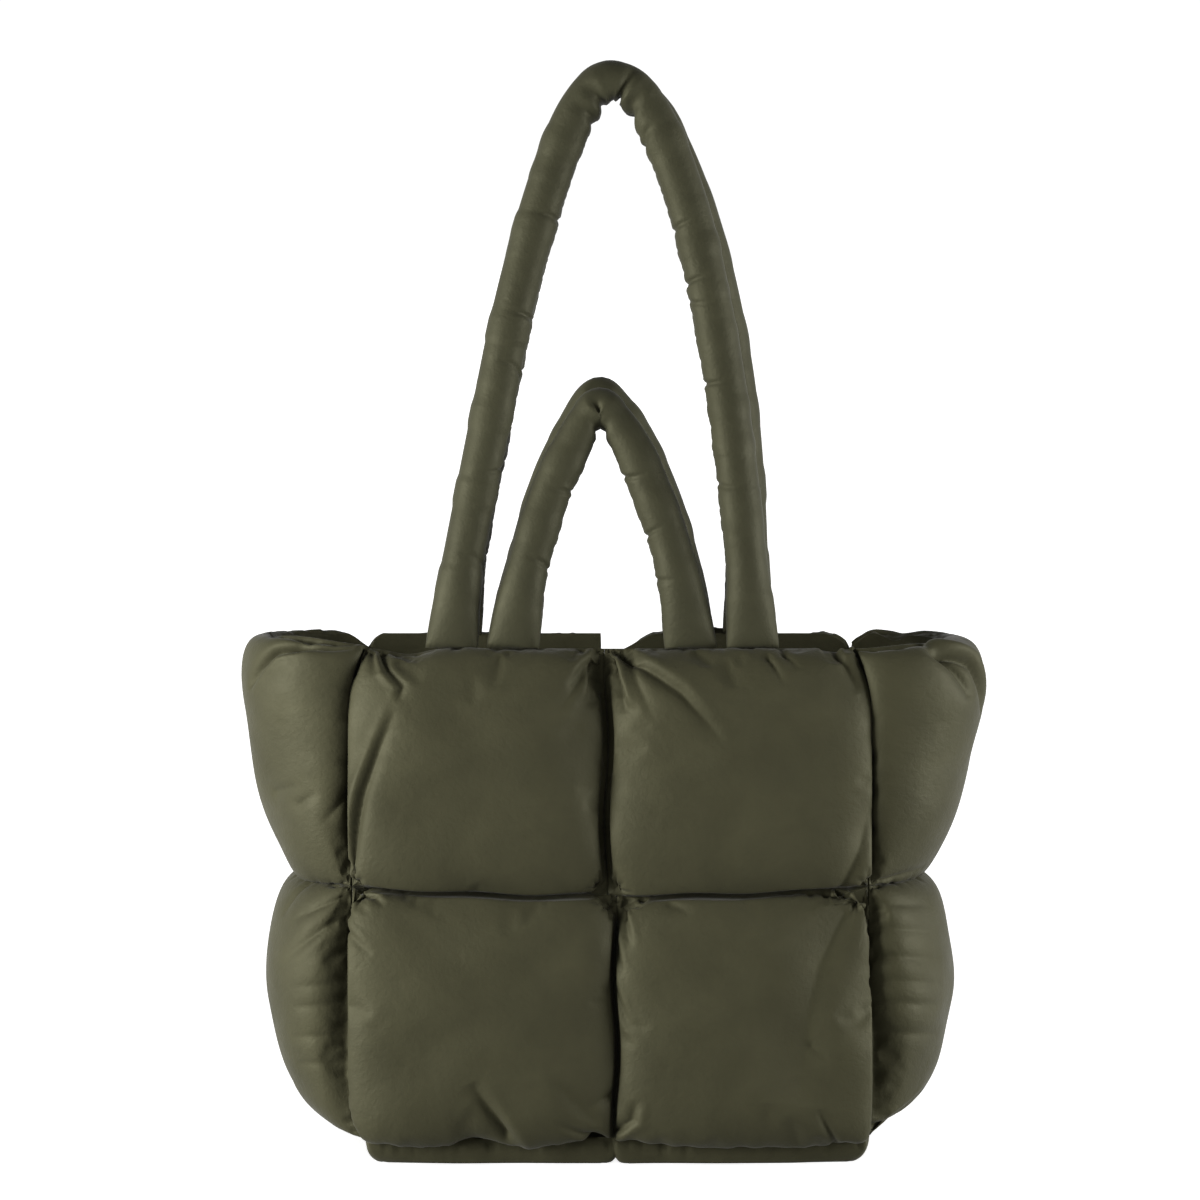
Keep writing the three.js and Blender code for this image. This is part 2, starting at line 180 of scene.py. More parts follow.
# Folds pressed into the swollen cloth, each along places (across, up) of its square
FOLDS = (
    Fold("front_upper_left", ((-0.86, 0.99), (-0.74, 0.82), (-0.60, 0.70), (-0.62, 0.56)),
         0.0036, 0.0024, -0.7),
    Fold("front_upper_left", ((-0.97, -0.80), (-0.92, -0.55), (-0.85, -0.20), (-0.74, 0.20), (-0.64, 0.50)),
         0.0038, 0.0026, 0.9),
    Fold("front_upper_left", ((-0.93, 0.97), (-0.80, 0.76)), 0.0034, 0.0024),
    Fold("front_upper_left", ((0.96, 0.96), (0.84, 0.52)), 0.0032, 0.0026, -0.4),
    Fold("front_upper_left", ((0.93, 0.97), (0.68, 0.65)), 0.0028, 0.0024, -0.4),
    Fold("front_upper_left", ((0.95, 0.93), (0.61, 0.49)), 0.0022, 0.0026),
    Fold("front_upper_left", ((-0.99, -0.99), (-0.84, -0.88)), 0.0025, 0.0020),
    Fold("front_upper_left", ((0.99, -0.99), (0.86, -0.90)), 0.0020, 0.0020),
    Fold("front_upper_right", ((-0.96, 0.93), (-0.83, 0.47)), 0.0042, 0.0026, 0.7),
    Fold("front_upper_right", ((-0.84, 0.99), (-0.61, 0.38)), 0.0020, 0.0034),
    Fold("front_upper_right", ((-0.86, 0.98), (-0.42, 0.63), (-0.12, 0.24)), 0.0042, 0.0040, 0.4),
    Fold("front_upper_right", ((0.28, 0.92), (0.37, 0.68)), 0.0020, 0.0022),
    Fold("front_upper_right", ((0.42, 0.94), (0.50, 0.80)), 0.0018, 0.0022),
    Fold("front_upper_right", ((0.86, 0.97), (0.88, 0.60)), 0.0024, 0.0024, 0.5),
    Fold("front_upper_right", ((0.74, -0.97), (0.88, -0.62), (0.96, -0.20)), 0.0030, 0.0050, -0.3),
    Fold("front_lower_left", ((-0.97, 0.98), (-0.82, 0.93), (-0.72, 0.84)), 0.0032, 0.0022, 0.5),
    Fold("front_lower_left", ((-0.97, 0.93), (-0.84, 0.76)), 0.0018, 0.0022),
    Fold("front_lower_left", ((-0.99, 0.62), (-0.80, 0.46)), 0.0018, 0.0024, 0.4),
    Fold("front_lower_left", ((0.98, 0.98), (0.88, 0.88)), 0.0020, 0.0022),
    Fold("front_lower_left", ((0.14, -0.90), (0.03, -0.74), (-0.09, -0.54)), 0.0042, 0.0046, -0.35),
    Fold("front_lower_left", ((0.83, -1.0), (0.54, -0.82)), 0.0022, 0.0020, 0.6),
    Fold("front_lower_left", ((0.95, -0.60), (0.78, -0.72)), 0.0020, 0.0030),
    Fold("front_lower_right", ((-0.98, 0.90), (-0.90, 0.74), (-0.83, 0.56)), 0.0028, 0.0024, 0.5),
    Fold("front_lower_right", ((-0.98, 0.62), (-0.88, 0.36)), 0.0022, 0.0022, 0.5),
    Fold("front_lower_right", ((-0.98, 0.34), (-0.84, -0.08)), 0.0022, 0.0022, 0.4),
    Fold("front_lower_right", ((-0.56, 0.90), (-0.38, 0.80)), 0.0014, 0.0024),
    Fold("front_lower_right", ((0.80, 0.80), (0.62, 0.42), (0.54, 0.08), (0.44, -0.70)), 0.0070, 0.0200),
    Fold("front_lower_right", ((0.97, 0.97), (0.84, 0.76)), 0.0020, 0.0022),
    Fold("front_lower_right", ((0.54, -0.24), (0.70, -0.36)), 0.0012, 0.0020),
    Fold("front_lower_right", ((0.70, -0.98), (0.59, -0.74)), 0.0024, 0.0020),
    Fold("front_lower_right", ((-1.0, -0.93), (-0.82, -0.80), (-0.80, -0.64)), 0.0030, 0.0030, -0.6),
    Fold("back_upper_left", ((-0.95, 1.0), (-0.60, 0.60)), 0.0030, 0.0030),
    Fold("back_upper_left", ((-1.0, 0.90), (-0.20, 0.40)), 0.0025, 0.0040),
    Fold("back_upper_right", ((0.95, 1.0), (0.66, 0.50)), 0.0030, 0.0030),
    Fold("back_lower_left", ((0.90, -0.90), (0.10, -0.60)), 0.0025, 0.0040),
    Fold("back_lower_right", ((-0.90, 0.90), (-0.70, 0.20)), 0.0025, 0.0030),
    Fold("left_gusset_upper", ((0.60, 0.93), (0.74, 0.95), (0.92, 0.97)), 0.0056, 0.0022),
    Fold("left_gusset_upper", ((0.60, 0.93), (0.46, 0.87), (0.26, 0.60)), 0.0072, 0.0022, 0.35),
    Fold("left_gusset_upper", ((0.42, -0.22), (0.68, -0.14)), 0.0012, 0.0024),
    Fold("left_gusset_upper", ((0.66, -0.30), (0.80, -0.19)), 0.0012, 0.0024),
    Fold("left_gusset_upper", ((0.98, -0.24), (0.84, -0.44)), 0.0020, 0.0024),
    Fold("left_gusset_lower", ((0.97, 0.72), (0.62, 0.40)), 0.0022, 0.0030, 0.3),
    Fold("left_gusset_lower", ((0.97, 0.90), (0.60, 0.70)), 0.0018, 0.0026),
    Fold("left_gusset_lower", ((0.50, 0.98), (0.44, 0.72)), 0.0018, 0.0024),
    Fold("left_gusset_lower", ((-0.90, 0.80), (-0.30, 0.40)), 0.0022, 0.0030),
    Fold("right_gusset_upper", ((-0.46, 0.92), (-0.28, 0.80), (-0.12, 0.44)), 0.0085, 0.0032, 0.4),
    Fold("right_gusset_upper", ((-0.50, 0.90), (-0.36, 0.56)), 0.0065, 0.0028),
    Fold("right_gusset_upper", ((-0.98, -0.96), (-0.40, -0.84)), 0.0022, 0.0026),
    Fold("right_gusset_lower", ((-0.97, -0.92), (-0.50, -0.70)), 0.0032, 0.0030, 0.4),
    *(Fold(name, ((KNOT["start"] * across, KNOT["start"] * up),
                  ((KNOT["start"] - reach) * across, (KNOT["start"] - KNOT["span"] + reach) * up)),
           0.0032, 0.0017)
      for name, across, up in WAIST_CORNERS for reach in KNOT["reaches"]),
    *(Fold(name, ((across, up), (PIT_END * across, PIT_END * up)), 0.0050, 0.0045)
      for name, across, up in WAIST_CORNERS),
    *(Fold("right_gusset_lower", ((-0.98, up), (-0.50, up - 0.05)), 0.0014, 0.0034)
      for up in (0.86, 0.66, 0.44, 0.25, 0.08, -0.16)),
    *(Fold("left_gusset_lower", ((0.98, up), (0.70, up - 0.03)), 0.0010, 0.0026)
      for up in (0.22, 0.06, -0.18, -0.40)),
    Fold("base_left", ((-0.62, -1.0), (-0.58, -0.90)), 0.0020, 0.0020),
    Fold("base_right", ((-0.84, -1.0), (-0.78, -0.90)), 0.0024, 0.0030),
)

# Dips of the rim: the place along it (x on the walls, across on the gussets), their reach and depth
RIM_DIPS = {
    "front_upper_left": ((-0.112, 0.020, 0.003),),
    "front_upper_right": ((0.125, 0.015, 0.002),),
    "back_upper_left": ((-0.143, 0.014, 0.009),),
    "back_upper_right": ((-0.002, 0.032, 0.012), (0.143, 0.020, 0.009)),
    "left_gusset_upper": ((0.48, 0.80, -0.006), (-1.0, 0.22, 0.009)),
    "right_gusset_upper": ((-0.55, 0.50, -0.002), (0.62, 0.16, 0.004), (1.0, 0.22, 0.009)),
}
# Lifts of the hem over the base: the place along it, their reach and height
HEM_LIFTS = {
    "front_lower_left": ((-0.073, 0.020, 0.005), (-0.012, 0.016, 0.003)),
}

# Straps: stuffed tubes, flatter and wider where they are sewn to the rim
STRAP = {"radius": 0.012, "foot_half_width": 0.0145, "foot_half_depth": 0.003, "foot_length": 0.055,
         "pinch_reach": 0.035}
STRAP_FOOT_Z = RIM["z"] + 0.0006
STRAP_SIDES = 36
STRAP_STEP = 0.0011
STRAP_WOBBLE = {"depth": 0.0004, "length": 0.03}
STRAP_CREASING = 1.3
# Puckers and flattening on the inside of a strap: "round" is how far round they reach, in radians
STRAP_PUCKER = {"depth": 0.0004, "length": 0.006, "round": 0.9}
CROWN_FLATTENING = {"depth": 0.0022, "reach": 0.014, "round": 1.2}
PATH_SAMPLES = 24
# Each row of a route: height, left run, right run, distance from the bag's middle
SHOULDER_ROUTE = (
    (STRAP_FOOT_Z, -0.088, 0.0795, 0.043),
    (0.325, -0.083, 0.0765, 0.040),
    (0.365, -0.0755, 0.0725, 0.036),
    (0.418, -0.065, 0.066, 0.031),
    (0.471, -0.054, 0.057, 0.026),
    (0.524, -0.040, 0.045, 0.020),
    (0.569, -0.0245, 0.029, 0.016),
    (0.586, -0.0155, 0.0195, 0.014),
    (0.5955, -0.007, 0.011, 0.0136),
)
SHOULDER_CROWN = {"z": 0.5985, "x": 0.002, "out": 0.0135}
HAND_ROUTE = (
    (STRAP_FOOT_Z, -0.054, 0.045, 0.043),
    (0.312, -0.050, 0.041, 0.041),
    (0.347, -0.041, 0.032, 0.036),
    (0.374, -0.032, 0.022, 0.032),
    (0.396, -0.0215, 0.0125, 0.029),
    (0.4105, -0.0135, 0.003, 0.027),
)
HAND_CROWN = {"z": 0.4185, "x": -0.0055, "out": 0.026}


@dataclass
class Crease:
    """A crease across a strap: its share of the length, depth, reach round from inside, slant and width."""
    at: float
    depth: float
    reach: float = 1.9
    slant: float = 0.0
    width: float = 0.0014


@dataclass
class Strap:
    """A stuffed tube strap: its node, side of the bag, route and creases, and its pinch, rise and bow."""
    node: str
    facing: int
    route: tuple
    crown: dict
    creases: tuple
    pinch: float = 0.0
    rise: float = 0.0
    bow: float = 0.0


SHOULDER_CREASES = (
    Crease(0.07, 0.0008, slant=0.006),
    Crease(0.155, 0.0007, slant=-0.004),
    Crease(0.232, 0.0011, slant=0.007),
    Crease(0.28, 0.0012, slant=0.003),
    Crease(0.367, 0.0009, slant=0.002),
    Crease(0.455, 0.0014, reach=2.0, slant=0.006, width=0.0030),
    Crease(0.476, 0.0022, reach=2.2, slant=0.004, width=0.0034),
    Crease(0.512, 0.0026, reach=3.1, width=0.0022),
    Crease(0.540, 0.0030, slant=-0.008, width=0.0042),
    Crease(0.570, 0.0014, reach=1.6, slant=-0.010, width=0.0026),
    Crease(0.645, 0.0011, slant=-0.003),
    Crease(0.692, 0.0013, slant=-0.002),
    Crease(0.705, 0.0008, slant=0.004),
    Crease(0.776, 0.0013, slant=0.001),
    Crease(0.86, 0.0008, slant=0.004),
)
HAND_CREASES = (
    Crease(0.16, 0.0012, slant=0.004),
    Crease(0.324, 0.0010, slant=-0.003),
    Crease(0.450, 0.0016, reach=1.8, slant=0.004, width=0.0026),
    Crease(0.504, 0.0030, reach=3.1, slant=-0.003, width=0.0018),
    Crease(0.545, 0.0014, reach=1.6, slant=-0.003, width=0.0026),
    Crease(0.643, 0.0012, slant=0.004),
    Crease(0.771, 0.0012, slant=-0.002),
    Crease(0.857, 0.0009, slant=0.003),
)
STRAPS = (
    Strap("front_shoulder_strap", -1, SHOULDER_ROUTE, SHOULDER_CROWN, SHOULDER_CREASES),
    Strap("back_shoulder_strap", 1, SHOULDER_ROUTE, SHOULDER_CROWN, SHOULDER_CREASES, bow=0.007),
    Strap("front_hand_strap", -1, HAND_ROUTE, HAND_CROWN, HAND_CREASES, pinch=0.12),
    Strap("back_hand_strap", 1, HAND_ROUTE, HAND_CROWN, HAND_CREASES, pinch=0.12, rise=0.035,
          bow=0.002),
)

# Camera, from the photo's viewing angle
CAMERA_PLACE = (-0.0055, -2.5, 0.540)
CAMERA_PITCH = math.radians(5.297)
CAMERA_FOCAL_PIXELS = 4445
PHOTO_PIXELS = 1200
SENSOR = 36.0
CAMERA_CLIP = 100

# Studio: softboxes, a floor that glows a little, and light that fades with the height of its direction
SOFTBOX = {"width": 0.6, "height": 1.0, "target": (0, 0, 0.2)}
SOFTBOXES = (
    {"name": "left_softbox", "place": (-1.32, -0.60, 0.32), "watts": 136},
    {"name": "right_softbox", "place": (1.46, -0.34, 0.28), "watts": 96},
)
WORLD_FADE = {"From Min": 0.25, "From Max": 0.65, "To Min": 1.05, "To Max": 0.35}
WHITE = (1, 1, 1, 1)
FLOOR_REACH = 30.0
FLOOR_GLOW = 0.85
FLOOR_CLOUDS = {"scale": 3, "detail": 4}
FLOOR_TONES = ((0.3, 0.92), (0.7, 0.95))
FLOOR_GRAIN = {"scale": 40, "detail": 3}
FLOOR_ROUGHNESS = (0.75, 0.9)

# Nylon: the colours of squares and straps, then its clouds, gloss, crinkles, weave and shine
SHELL_COLOUR = (0.0146, 0.0140, 0.0076)
STRAP_COLOUR = (0.0134, 0.0131, 0.0075)
NOISE_RANGE = (0.3, 0.7)
CLOUDS = {"scale": 24, "detail": 9, "distortion": 0.4, "roughness": 0.68}
CLOUD_TONES = ((0.32, 0.84), (0.68, 1.16))
GLOSS = {"scale": 60, "detail": 4}
GLOSS_ROUGHNESS = (0.52, 0.66)
CRINKLES = {"scale": 60, "detail": 5, "distortion": 0.6}
CRINKLE_BUMP = {"strength": 0.3, "distance": 0.0020}
FINE_CRINKLES = {"scale": 420, "detail": 3, "distortion": 0.5}
FINE_BUMP = {"strength": 0.4, "distance": 0.0006}
THREADS = {"Scale": 628, "Distortion": 1.5, "Detail Scale": 0.3}
WEAVE_BUMP = {"strength": 0.3, "distance": 0.00006}
SHINE = {
    "Specular IOR Level": 0.08,
    "Specular Tint": (0.80, 0.78, 0.50, 1),
    "Sheen Weight": 0.02,
    "Sheen Roughness": 0.4,
}


@dataclass
class Square:
    """A stuffed square: its node, its place in the seams' surface, and how it is stuffed."""
    name: str
    surface: Callable
    kind: dict
    edges: dict
    overhangs: dict
    centre_way: int
    limit: Callable
    folds: list


# Seam surfaces: each takes places across and up a square and gives points in the seams' surface

def half_width(z, side):
    side_name = "left" if side < 0 else "right"
    low = np.clip(1 - (z - BASE["z"]) / FOOT_NARROWING["height"], 0, 1)
    high = np.clip(1 - (RIM["z"] - z) / RIM_NARROWING["height"], 0, 1)
    return PANEL_HALF_WIDTH - FOOT_NARROWING[side_name] * low ** 2 - RIM_NARROWING[side_name] * high ** 2


def section(row, up, side):
    share = (up + 1) / 2
    at = {key: row["low"][key] + (row["high"][key] - row["low"][key]) * share for key in row["low"]}
    at["half_width"] = half_width(at["z"], side)
    return at


def smooth_steps(table, name, place):
    """The sum of a table's soft steps at a place along an edge."""
    total = np.zeros_like(place)
    for middle, reach, depth in table.get(name, ()):
        near = np.clip(1 - np.abs(place - middle) / reach, 0, 1)
        total += depth * near * near * (3 - 2 * near)
    return total


def rim_dip(name, place, up):
    """How far the rim dips at a place along it, fading out below it."""
    return smooth_steps(RIM_DIPS, name, place) * np.clip((1 + up) / 2, 0, None) ** RIM_DIP_FADE


def hem_lift(name, row, x, up):
    """How far the lower edge of a wall rises over the base at a place along it, fading out above it."""
    if row["waist_end"] < 0:
        return 0.0
    wave = HEM_WAVE["depth"] * np.sin(2 * math.pi * x / HEM_WAVE["length"])
    return (smooth_steps(HEM_LIFTS, name, x) + wave) * np.clip((1 - up) / 2, 0, None) ** HEM_LIFT_FADE


def centre_seam(row, facing, z):
    shift = BACK_CENTRE_SHIFT if facing > 0 else 0.0
    wave = CENTRE_WAVE["depth"] * facing * np.sin(2 * math.pi * z / CENTRE_WAVE["length"])
    return row["centre_seam"] + shift + wave


def waist_sag(x):
    inside = 1 - (x / PANEL_HALF_WIDTH) ** 2
    return inside * (WAIST_SAG + WAIST_WAVE["depth"] * np.sin(2 * math.pi * x / WAIST_WAVE["length"]))


def panel_surface(name, row, facing, side):
    def surface(across, up):
        at = section(row, up, side)
        outwards = (1 - side * facing * across) / 2
        centre = centre_seam(row, facing, at["z"])
        x = centre + (side * at["half_width"] - centre) * outwards
        sag = waist_sag(x) * (1 + row["waist_end"] * up) / 2
        z = at["z"] - sag - rim_dip(name, x, up) + hem_lift(name, row, x, up)
        return np.stack([x, facing * at["half_depth"], z], axis=-1)
    return surface


def wall_depth(z):
    rings = (BASE, WAIST, RIM)
    return np.interp(z, [at["z"] for at in rings], [at["half_depth"] for at in rings])


def waist_limit(row, z, waist, gap):
    return np.maximum(z, waist + gap) if row["waist_end"] < 0 else np.minimum(z, waist - gap)


def panel_limit(row, facing, side):
    """Presses a panel's cloth flat where it meets its neighbours over the centre, waist and side seams."""
    def limit(points):
        x, y, z = np.moveaxis(points, -1, 0)
        groove = np.clip((facing * y - wall_depth(z) - GROOVE["start"]) / GROOVE["rise"], 0, 1)
        waist = WAIST["z"] - waist_sag(x)
        z = np.maximum(waist_limit(row, z, waist, SEAM_GAP + GROOVE["waist"] * groove), FLOOR_GAP)
        from_centre = np.maximum(side * (x - centre_seam(row, facing, z)), SEAM_GAP + row["groove"] * groove)
        x = centre_seam(row, facing, z) + side * from_centre
        x = side * np.minimum(side * x, half_width(z, side) + SIDE_LAP)
        return np.stack([x, y, z], axis=-1)
    return limit


def gusset_arc(at):
    radius = (at["half_depth"] ** 2 + at["fold_out"] ** 2) / (2 * at["fold_out"])
    half_angle = np.arctan2(at["half_depth"], radius - at["fold_out"])
    return radius, half_angle, at["half_width"] + at["fold_out"] - radius


def gusset_surface(name, row, side):
    def surface(across, up):
        at = section(row, up, side)
        radius, half_angle, centre = gusset_arc(at)
        angle = across * half_angle
        x = side * (centre + radius * np.cos(angle))
        y = side * radius * np.sin(angle)
        z = at["z"] - rim_dip(name, across, up)
        if row["low"] is BASE:
            fade = np.clip((1 - up) / 2, 0, None) ** GUSSET_LIFT_FADE
            z = z + BASE_END_LIFT * (1 - across ** 2) * fade
        return np.stack([x, y, z], axis=-1)
    return surface


def gusset_limit(row, side):
    """Presses a gusset's cloth flat where it meets its neighbours over the waist and side seams."""
    def limit(points):
        x, y, z = np.moveaxis(points, -1, 0)
        z = np.maximum(waist_limit(row, z, WAIST["z"], SEAM_GAP), FLOOR_GAP)
        beside_wall = np.clip((np.abs(y) - wall_depth(z)) / SIDE_LAP, 0, 1)
        x = side * np.maximum(side * x, half_width(z, side) + (SIDE_LAP + SEAM_GAP) * beside_wall)
        return np.stack([x, y, z], axis=-1)
    return limit


def base_limit(points):
    x, y, z = np.moveaxis(points, -1, 0)
    return np.stack([x, y, np.maximum(z, 0)], axis=-1)


def base_surface(side):
    end_arc = {**BASE, "half_width": half_width(BASE["z"], side), "fold_out": BASE_END_BULGE}
    radius, _, centre = gusset_arc(end_arc)

    def surface(across, up):
        y = -up * (BASE["half_depth"] - BASE_INSET)
        end = side * (centre + np.sqrt(radius ** 2 - y ** 2) - BASE_END_INSET)
        outwards = (1 + side * across) / 2
        x = BASE_CENTRE_SEAM + (end - BASE_CENTRE_SEAM) * outwards
        fade = np.clip(outwards, 0, None) ** BASE_LIFT_FADE
        z = BASE["z"] + BASE_END_LIFT * (1 - up ** 2) * fade
        return np.stack([x, y, z], axis=-1)
    return surface


def normals(surface, across, up):
    across_way = surface(across + NORMAL_STEP, up) - surface(across - NORMAL_STEP, up)
    up_way = surface(across, up + NORMAL_STEP) - surface(across, up - NORMAL_STEP)
    normal = np.cross(across_way, up_way)
    return normal / np.linalg.norm(normal, axis=-1, keepdims=True)


def bag_squares():
    squares = []

    def add(name, surface, limit, kind, centre_way=0):
        folds = [fold for fold in FOLDS if fold.square == name]
        edges = {**EDGES[kind], **EDGE_CHANGES.get(name, {})}
        squares.append(Square(name, surface, KINDS[kind], edges, OVERHANGS[kind], centre_way, limit, folds))

    sides = (("left", -1), ("right", 1))
    for row_name, row in ROWS.items():
        for wall, facing in (("front", -1), ("back", 1)):
            for side_name, side in sides:
                name = f"{wall}_{row_name}_{side_name}"
                add(name, panel_surface(name, row, facing, side), panel_limit(row, facing, side),
                    f"{row_name}_panel", side * facing)
        for side_name, side in sides:
            name = f"{side_name}_gusset_{row_name}"
            kind = f"{side_name}_upper_gusset" if row_name == "upper" else "lower_gusset"
            add(name, gusset_surface(name, row, side), gusset_limit(row, side), kind)
    for side_name, side in sides:
        add(f"base_{side_name}", base_surface(side), base_limit, "base")
    return squares


# Cut cloth: each square as it is cut, before it is gathered into its seams

def rounded(place, bluntness):
    """1 in the middle of a run from -1 to 1 and 0 at its ends, blunter or rounder."""
    soft = np.sqrt(place ** 2 + PILLOW_SOFTNESS ** 2) - PILLOW_SOFTNESS
    soft /= math.sqrt(1 + PILLOW_SOFTNESS ** 2) - PILLOW_SOFTNESS
    return np.clip(1 - soft ** bluntness, 0, None)


def pillow(square, across, up):
    """Share of the full swelling at a place of the square, 0 on its seams."""
    edges = square.edges
    at_centre = square.centre_way * across > 0
    across_bluntness = np.where(at_centre, edges.get("centre", edges["side"]), edges["side"])
    up_bluntness = np.where(up > 0, edges["top"], edges["bottom"])
    return (rounded(across, across_bluntness) * rounded(up, up_bluntness)) ** PILLOW_POWER


def overhang(square, across, up):
    """How far the flanks of a swollen square hang out over its seams."""
    towards = {"centre": square.centre_way * across, "top": up, "bottom": -up}
    kept = np.ones_like(up)
    for edge, share in square.overhangs.items():
        kept -= (1 - share) * np.clip(towards[edge], 0, 1) ** OVERHANG_FADE
    profile = pillow(square, across, up)
    flank = 4 * profile * (1 - profile)
    return flank * square.kind["overhang"] * np.clip(kept, 0, 1)


def even_places(square, half, along):
    """Places from -1 to 1 evenly spaced along the swollen curve of the square's middle, and its length."""
    fine = -np.cos(np.linspace(0, math.pi, CURVE_SAMPLES))
    still = np.zeros_like(fine)
    curve = pillow(square, fine, still) if along == "across" else pillow(square, still, fine)
    lengths = np.hypot(np.diff(fine * half), np.diff(curve * square.kind["swell"]))
    run = np.concatenate([[0], np.cumsum(lengths)])
    return np.interp(np.linspace(0, run[-1], SQUARE_DIVISIONS + 1), run, fine), run[-1]


def middle_length(surface, along):
    places = np.linspace(-1, 1, MIDDLE_SAMPLES)
    still = np.zeros_like(places)
    points = surface(places, still) if along == "across" else surface(still, places)
    return np.linalg.norm(np.diff(points, axis=0), axis=1).sum()


def fold_depth(fold, across, up, half_size):
    """Depth of a fold: a valley along its path, deepest at the start, with a raised lip on one side."""
    size = np.array(half_size)
    path = np.array(fold.path) * size
    place = np.stack([across, up], axis=-1) * size
    lengths = np.linalg.norm(np.diff(path, axis=0), axis=1)
    before = np.concatenate([[0], np.cumsum(lengths)])
    nearest = np.full(across.shape, np.inf)
    share = np.zeros(across.shape)
    left = np.zeros(across.shape)
    for start, end, length, run in zip(path, path[1:], lengths, before):
        way = (end - start) / length
        along = np.clip(((place - start) @ way) / length, 0, 1)
        away = place - start - along[..., None] * (end - start)
        distance = np.linalg.norm(away, axis=-1)
        closer = distance < nearest
        nearest = np.where(closer, distance, nearest)
        share = np.where(closer, (run + along * length) / before[-1], share)
        left = np.where(closer, way[0] * away[..., 1] - way[1] * away[..., 0], left)
    from_lip = (left - math.copysign(FOLD_LIP_GAP, fold.lip) * fold.width) / fold.width
    ridge = abs(fold.lip) * np.exp(-(from_lip ** 2)) * np.exp(-(nearest / fold.width / FOLD_LIP_SPREAD) ** 2)
    valley = np.exp(-(nearest / fold.width) ** FOLD_SHARPNESS)
    return FOLD_STRENGTH * fold.depth * (1 - share) ** FOLD_FADE * (valley - ridge)


def cut_square(square, seed):
    """The square's places, its seam points, its cut cloth and its size along the cloth."""
    width = middle_length(square.surface, "across")
    height = middle_length(square.surface, "up")
    across_places, cloth_width = even_places(square, width / 2, "across")
    up_places, cloth_height = even_places(square, height / 2, "up")
    up, across = np.meshgrid(up_places, across_places, indexing="ij")
    inset = 1 - 2 * SEAM_GAP / width
    seam = square.surface(across * inset, up * inset)
    normal = normals(square.surface, across * inset, up * inset)
    lift = square.kind["swell"] * pillow(square, across, up)
    rng = np.random.default_rng(seed)
    waves = rng.uniform(-RIPPLE["turns"], RIPPLE["turns"], (RIPPLE["waves"], 3))
    ripple = sum(np.sin(across * a + up * b + c) for a, b, c in waves)
    lift += RIPPLE["depth"] * ripple * (1 - across ** 2) * (1 - up ** 2)
    middle = square.surface(np.zeros(1), np.zeros(1))[0]
    flank = overhang(square, across, up)
    low, high = square.kind["corner_fullness"]
    corner = np.where(up > 0, high, low) * (across * up) ** CORNER_SHARPNESS
    fullness = 1 + square.kind["side_fullness"] + corner
    out = seam - middle
    way = out / np.linalg.norm(out, axis=-1, keepdims=True).clip(SHORTEST_WAY)
    cut = middle + out * fullness[..., None] + way * flank[..., None] + normal * lift[..., None]
    sewn = seam + normal * SEAM_CLOTH
    return {"across": across, "up": up, "seam": seam, "normal": normal, "cut": cut, "sewn": sewn,
            "half_size": (width / 2, height / 2), "size": (cloth_width, cloth_height)}


def grid_faces(rows, columns, first=0):
    corner = first + np.arange(rows)[:, None] * (columns + 1) + np.arange(columns)[None, :]
    quads = np.stack([corner, corner + 1, corner + columns + 2, corner + columns + 1], axis=-1)
    return quads.reshape(-1, 4)


def grid_edge(divisions):
    """Indices round the edge of a square grid, anticlockwise seen from outside."""
    index = np.arange((divisions + 1) ** 2).reshape(divisions + 1, divisions + 1)
    return np.concatenate([index[0, :-1], index[:-1, -1], index[-1, :0:-1], index[:0:-1, 0]])


# Swelling: the edges of each cut square move into the seams while pressure swells it

def cloth_object(name, grid):
    mesh = bpy.data.meshes.new(name)
    faces = grid_faces(SQUARE_DIVISIONS, SQUARE_DIVISIONS)
    mesh.from_pydata(grid["cut"].reshape(-1, 3).tolist(), [], faces.tolist())
    cloth = bpy.data.objects.new(name, mesh)
    SCENE.collection.objects.link(cloth)
    cloth.shape_key_add(name="cut")
    sewn = cloth.shape_key_add(name="sewn")
    sewn.data.foreach_set("co", grid["sewn"].astype(np.float32).ravel())
    for value, frame_number in ((0, 1), (1, GATHER_FRAMES)):
        sewn.value = value
        sewn.keyframe_insert("value", frame=frame_number)
    seams = cloth.vertex_groups.new(name="seams")
    seams.add(grid_edge(SQUARE_DIVISIONS).tolist(), 1.0, "REPLACE")
    modifier = cloth.modifiers.new("cloth", "CLOTH")
    settings = modifier.settings
    for key, value in CLOTH.items():
        setattr(settings, key, value)
    settings.use_pressure = True
    settings.effector_weights.gravity = 0.0
    settings.vertex_group_mass = seams.name
    modifier.collision_settings.use_collision = False
    modifier.point_cache.frame_start = 1
    modifier.point_cache.frame_end = CLOTH_FRAMES
    return cloth


def swell_squares(squares, grids):
    """The swollen points of each square's outer cloth. The base, cut with no fullness, stays as cut."""
    swollen = {square.name: grid["cut"] for square, grid in zip(squares, grids)}
    cloths = {square.name: cloth_object(f"{square.name}_cloth", grid)
              for square, grid in zip(squares, grids) if any(square.kind["corner_fullness"])}
    for frame_number in range(1, CLOTH_FRAMES + 1):
        SCENE.frame_set(frame_number)
    graph = bpy.context.evaluated_depsgraph_get()
    for name, cloth in cloths.items():
        points = np.empty(swollen[name].size, np.float32)
        cloth.evaluated_get(graph).data.vertices.foreach_get("co", points)
        swollen[name] = points.reshape(swollen[name].shape).astype(float)
    for cloth in cloths.values():
        mesh = cloth.data
        bpy.data.objects.remove(cloth)
        bpy.data.meshes.remove(mesh)
    SCENE.frame_set(1)
    return swollen


# Pieces

